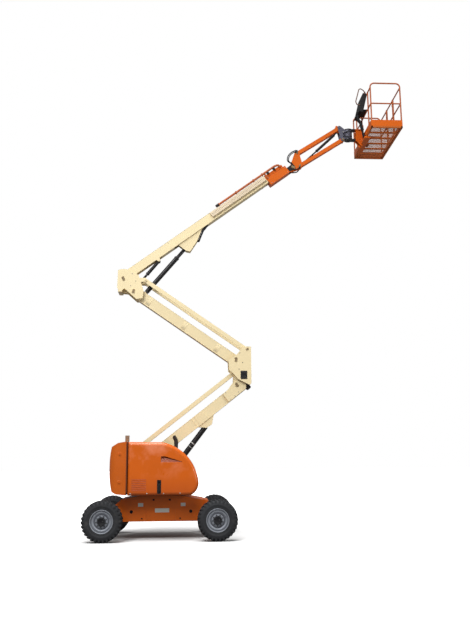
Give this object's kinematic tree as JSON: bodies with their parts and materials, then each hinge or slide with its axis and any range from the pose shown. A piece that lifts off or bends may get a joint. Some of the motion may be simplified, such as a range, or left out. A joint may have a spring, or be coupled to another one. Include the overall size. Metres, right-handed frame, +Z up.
{
  "type": "articulating boom lift",
  "caption": "Self-propelled work platform: a basket on a jib, a telescoping boom and a folding tower that slews on a wheeled chassis.",
  "frame": {"origin": "middle of the bounding box, on the floor, as the machine stands with its tower part-way up", "axes": "+X toward the basket, +Y to the machine's left side, +Z up"},
  "size_m": [7.0952, 2.34, 10.3159],
  "materials": {
    "orange_paint": "gloss",
    "orange_moulding": "gloss",
    "cream_paint": "satin",
    "black_paint": "satin",
    "chrome_rod": "polished",
    "tyre_rubber": "matt",
    "rim_paint": "satin",
    "iron": "gloss",
    "engine_alloy": "cast",
    "black_plastic": "matt",
    "rubber_black": "matt"
  },
  "bodies": {
    "chassis": {"chassis_frame": "orange_paint", "drive_axle": "black_paint", "steer_axle": "black_paint", "slewing_ring": "black_paint"},
    "right_knuckle": {"right_knuckle": "black_paint"},
    "left_knuckle": {"left_knuckle": "black_paint"},
    "tie_rod": {"tie_rod": "black_paint"},
    "front_right_wheel": {"front_right_tyre": "tyre_rubber", "front_right_rim": "rim_paint"},
    "front_left_wheel": {"front_left_tyre": "tyre_rubber", "front_left_rim": "rim_paint"},
    "rear_right_wheel": {"rear_right_tyre": "tyre_rubber", "rear_right_rim": "rim_paint"},
    "rear_left_wheel": {"rear_left_tyre": "tyre_rubber", "rear_left_rim": "rim_paint"},
    "turret": {"turntable": "black_paint", "compartment_walls": "black_paint", "hood_post": "black_paint", "counterweight": "iron", "engine_block": "engine_alloy", "fluid_tanks": "black_plastic", "exhaust_pipe": "black_paint", "beacon": "black_paint"},
    "right_hood": {"right_hood": "orange_moulding", "right_hood_latch": "black_plastic"},
    "left_hood": {"left_hood": "orange_moulding", "left_hood_latch": "black_plastic"},
    "lower_boom": {"lower_boom": "cream_paint", "lower_boom_bumper": "rubber_black"},
    "lower_link": {"lower_link": "cream_paint"},
    "lower_upright": {"lower_upright": "cream_paint"},
    "mid_boom": {"mid_boom": "cream_paint"},
    "mid_link": {"mid_link": "cream_paint"},
    "upper_upright": {"upper_upright": "cream_paint"},
    "main_boom": {"main_boom": "cream_paint", "cable_carrier": "rim_paint", "boom_hoses": "rubber_black"},
    "fly_boom": {"fly_boom": "orange_paint", "carrier_tube": "orange_paint"},
    "jib_knuckle": {"jib_knuckle": "orange_paint", "knuckle_hoses": "rubber_black"},
    "jib_lower_bar": {"jib_lower_bar": "orange_paint"},
    "jib_upper_bar": {"jib_upper_bar": "orange_paint"},
    "jib_head": {"jib_head": "black_paint", "head_hoses": "rubber_black"},
    "basket": {"basket_support": "orange_paint", "basket_floor": "orange_paint", "basket_rails": "orange_paint", "control_console": "black_plastic", "console_guard": "black_paint", "console_hoses": "rubber_black"},
    "basket_gate": {"basket_gate": "orange_paint"},
    "lower_lift_barrel": {"lower_lift_barrel": "black_paint"},
    "lower_lift_rod": {"lower_lift_rod": "chrome_rod"},
    "main_lift_barrel": {"main_lift_barrel": "black_paint"},
    "main_lift_rod": {"main_lift_rod": "chrome_rod"},
    "level_barrel": {"level_barrel": "black_paint"},
    "level_rod": {"level_rod": "chrome_rod"},
    "jib_barrel": {"jib_barrel": "black_paint"},
    "jib_rod": {"jib_rod": "chrome_rod"}
  },
  "joints": [
    {"name": "front_right_wheel_spin", "type": "hinge", "parent": "chassis", "child": "front_right_wheel", "pos_m": [-0.79135, -1, 0.413], "axis": [0, 1, 0], "continuous": true},
    {"name": "front_left_wheel_spin", "type": "hinge", "parent": "chassis", "child": "front_left_wheel", "pos_m": [-0.79135, 1, 0.413], "axis": [0, 1, 0], "continuous": true},
    {"name": "rear_right_wheel_spin", "type": "hinge", "parent": "right_knuckle", "child": "rear_right_wheel", "pos_m": [-3.13135, -1, 0.413], "axis": [0, 1, 0], "continuous": true},
    {"name": "rear_left_wheel_spin", "type": "hinge", "parent": "left_knuckle", "child": "rear_left_wheel", "pos_m": [-3.13135, 1, 0.413], "axis": [0, 1, 0], "continuous": true},
    {"name": "steering", "type": "hinge", "parent": "chassis", "child": "right_knuckle", "pos_m": [-3.13135, -0.7, 0.413], "axis": [0, 0, 1], "range_deg": [-32, 32]},
    {"name": "left_steering", "type": "hinge", "parent": "chassis", "child": "left_knuckle", "pos_m": [-3.13135, 0.7, 0.413], "axis": [0, 0, 1], "range_deg": [-32, 32]},
    {"name": "tie_rod_pivot", "type": "hinge", "parent": "right_knuckle", "child": "tie_rod", "pos_m": [-2.95135, -0.7, 0.321], "axis": [0, 0, 1], "range_deg": [-32, 32]},
    {"name": "slew", "type": "hinge", "parent": "chassis", "child": "turret", "pos_m": [-1.96135, 0, 0.93], "axis": [0, 0, 1], "range_deg": [-177.5, 177.5]},
    {"name": "right_hood_hinge", "type": "hinge", "parent": "turret", "child": "right_hood", "pos_m": [-2.28135, -0.311, 1.975], "axis": [-1, 0, 0], "range_deg": [0, 60]},
    {"name": "left_hood_hinge", "type": "hinge", "parent": "turret", "child": "left_hood", "pos_m": [-2.28135, 0.311, 1.975], "axis": [1, 0, 0], "range_deg": [0, 60]},
    {"name": "tower_lift", "type": "hinge", "parent": "turret", "child": "lower_boom", "pos_m": [-2.54435, 0, 1.545], "axis": [0, -1, 0], "range_deg": [-36, 32]},
    {"name": "lower_link_swing", "type": "hinge", "parent": "turret", "child": "lower_link", "pos_m": [-2.54435, 0, 1.84], "axis": [0, -1, 0], "range_deg": [-36.01, 32.01]},
    {"name": "lower_upright_swing", "type": "hinge", "parent": "lower_boom", "child": "lower_upright", "pos_m": [-0.33004, 0, 3.27501], "axis": [0, -1, 0], "range_deg": [-32.01, 36.01]},
    {"name": "mid_boom_swing", "type": "hinge", "parent": "lower_upright", "child": "mid_boom", "pos_m": [-0.33904, 0, 3.80001], "axis": [0, -1, 0], "range_deg": [-32.01, 36.01]},
    {"name": "mid_link_swing", "type": "hinge", "parent": "lower_upright", "child": "mid_link", "pos_m": [-0.09304, 0, 4.04501], "axis": [0, -1, 0], "range_deg": [-32.01, 36.01]},
    {"name": "upper_upright_swing", "type": "hinge", "parent": "mid_boom", "child": "upper_upright", "pos_m": [-2.64927, 0, 5.39968], "axis": [0, -1, 0], "range_deg": [-36.01, 32.01]},
    {"name": "lower_lift_cylinder_swing", "type": "hinge", "parent": "turret", "child": "lower_lift_rod", "pos_m": [-1.94535, 0, 1.126], "axis": [0, -1, 0], "range_deg": [-37.09, 32.97]},
    {"name": "lower_lift_cylinder_stroke", "type": "slide", "parent": "lower_lift_rod", "child": "lower_lift_barrel", "axis": [0.6065, 0, 0.7951], "range_m": [-0.42147, 0.3747]},
    {"name": "main_boom_lift", "type": "hinge", "parent": "upper_upright", "child": "main_boom", "pos_m": [-2.87927, 0, 5.65468], "axis": [0, -1, 0], "range_deg": [-36.3, 35.7]},
    {"name": "main_lift_cylinder_swing", "type": "hinge", "parent": "upper_upright", "child": "main_lift_barrel", "pos_m": [-2.40727, 0, 5.35868], "axis": [0, -1, 0], "range_deg": [-38.12, 37.49]},
    {"name": "main_lift_cylinder_stroke", "type": "slide", "parent": "main_lift_barrel", "child": "main_lift_rod", "axis": [0.6441, 0, 0.765], "range_m": [-0.32995, 0.3245]},
    {"name": "level_cylinder_swing", "type": "hinge", "parent": "upper_upright", "child": "level_rod", "pos_m": [-2.49227, 0, 5.66468], "axis": [0, -1, 0], "range_deg": [-47.93, 47.13]},
    {"name": "level_cylinder_stroke", "type": "slide", "parent": "level_rod", "child": "level_barrel", "axis": [0.6362, 0, 0.7716], "range_m": [-0.13988, 0.13758]},
    {"name": "fly_extension", "type": "slide", "parent": "main_boom", "child": "fly_boom", "axis": [0.8059, 0, 0.592], "range_m": [0, 1.2]},
    {"name": "jib_levelling", "type": "hinge", "parent": "fly_boom", "child": "jib_knuckle", "pos_m": [1.05813, 0, 8.47006], "axis": [0, -1, 0], "range_deg": [-35.71, 36.31]},
    {"name": "jib_lift", "type": "hinge", "parent": "jib_knuckle", "child": "jib_lower_bar", "pos_m": [1.24813, 0, 8.53006], "axis": [0, -1, 0], "range_deg": [-93, 51]},
    {"name": "jib_upper_bar_swing", "type": "hinge", "parent": "jib_knuckle", "child": "jib_upper_bar", "pos_m": [1.17813, 0, 8.83006], "axis": [0, -1, 0], "range_deg": [-93.01, 51.01]},
    {"name": "jib_head_swing", "type": "hinge", "parent": "jib_lower_bar", "child": "jib_head", "pos_m": [2.30485, 0, 9.21631], "axis": [0, -1, 0], "range_deg": [-51.01, 93.01]},
    {"name": "jib_cylinder_swing", "type": "hinge", "parent": "jib_knuckle", "child": "jib_barrel", "pos_m": [1.24813, 0, 8.53006], "axis": [0, -1, 0], "range_deg": [-88.36, 48.46]},
    {"name": "jib_cylinder_stroke", "type": "slide", "parent": "jib_barrel", "child": "jib_rod", "axis": [0.7255, 0, 0.6882], "range_m": [-0.37383, 0.20523]},
    {"name": "platform_rotation", "type": "hinge", "parent": "jib_head", "child": "basket", "pos_m": [2.45835, 0, 9.21631], "axis": [0, 0, 1], "range_deg": [-90, 90]},
    {"name": "gate_hinge", "type": "hinge", "parent": "basket", "child": "basket_gate", "pos_m": [3.52585, -0.254, 9.17711], "axis": [0, 0, 1], "range_deg": [0, 85]}
  ],
  "couplings": [
    {"joint": "left_steering", "follows": "steering", "ratio": 1},
    {"joint": "tie_rod_pivot", "follows": "steering", "ratio": -1},
    {"joint": "lower_link_swing", "follows": "tower_lift", "ratio": 1},
    {"joint": "lower_upright_swing", "follows": "tower_lift", "ratio": -1},
    {"joint": "mid_boom_swing", "follows": "tower_lift", "ratio": -1},
    {"joint": "mid_link_swing", "follows": "tower_lift", "ratio": -1},
    {"joint": "upper_upright_swing", "follows": "tower_lift", "ratio": 1},
    {"joint": "lower_lift_cylinder_swing", "follows": "tower_lift", "ratio": 1.03},
    {"joint": "lower_lift_cylinder_stroke", "follows": "tower_lift", "m_per_rad": 0.67},
    {"joint": "main_lift_cylinder_swing", "follows": "main_boom_lift", "ratio": 1.05},
    {"joint": "main_lift_cylinder_stroke", "follows": "main_boom_lift", "m_per_rad": 0.52},
    {"joint": "level_cylinder_swing", "follows": "main_boom_lift", "ratio": 1.32},
    {"joint": "level_cylinder_stroke", "follows": "main_boom_lift", "m_per_rad": 0.22},
    {"joint": "jib_levelling", "follows": "main_boom_lift", "ratio": -1},
    {"joint": "jib_upper_bar_swing", "follows": "jib_lift", "ratio": 1},
    {"joint": "jib_head_swing", "follows": "jib_lift", "ratio": -1},
    {"joint": "jib_cylinder_swing", "follows": "jib_lift", "ratio": 0.95},
    {"joint": "jib_cylinder_stroke", "follows": "jib_lift", "m_per_rad": 0.23}
  ]
}
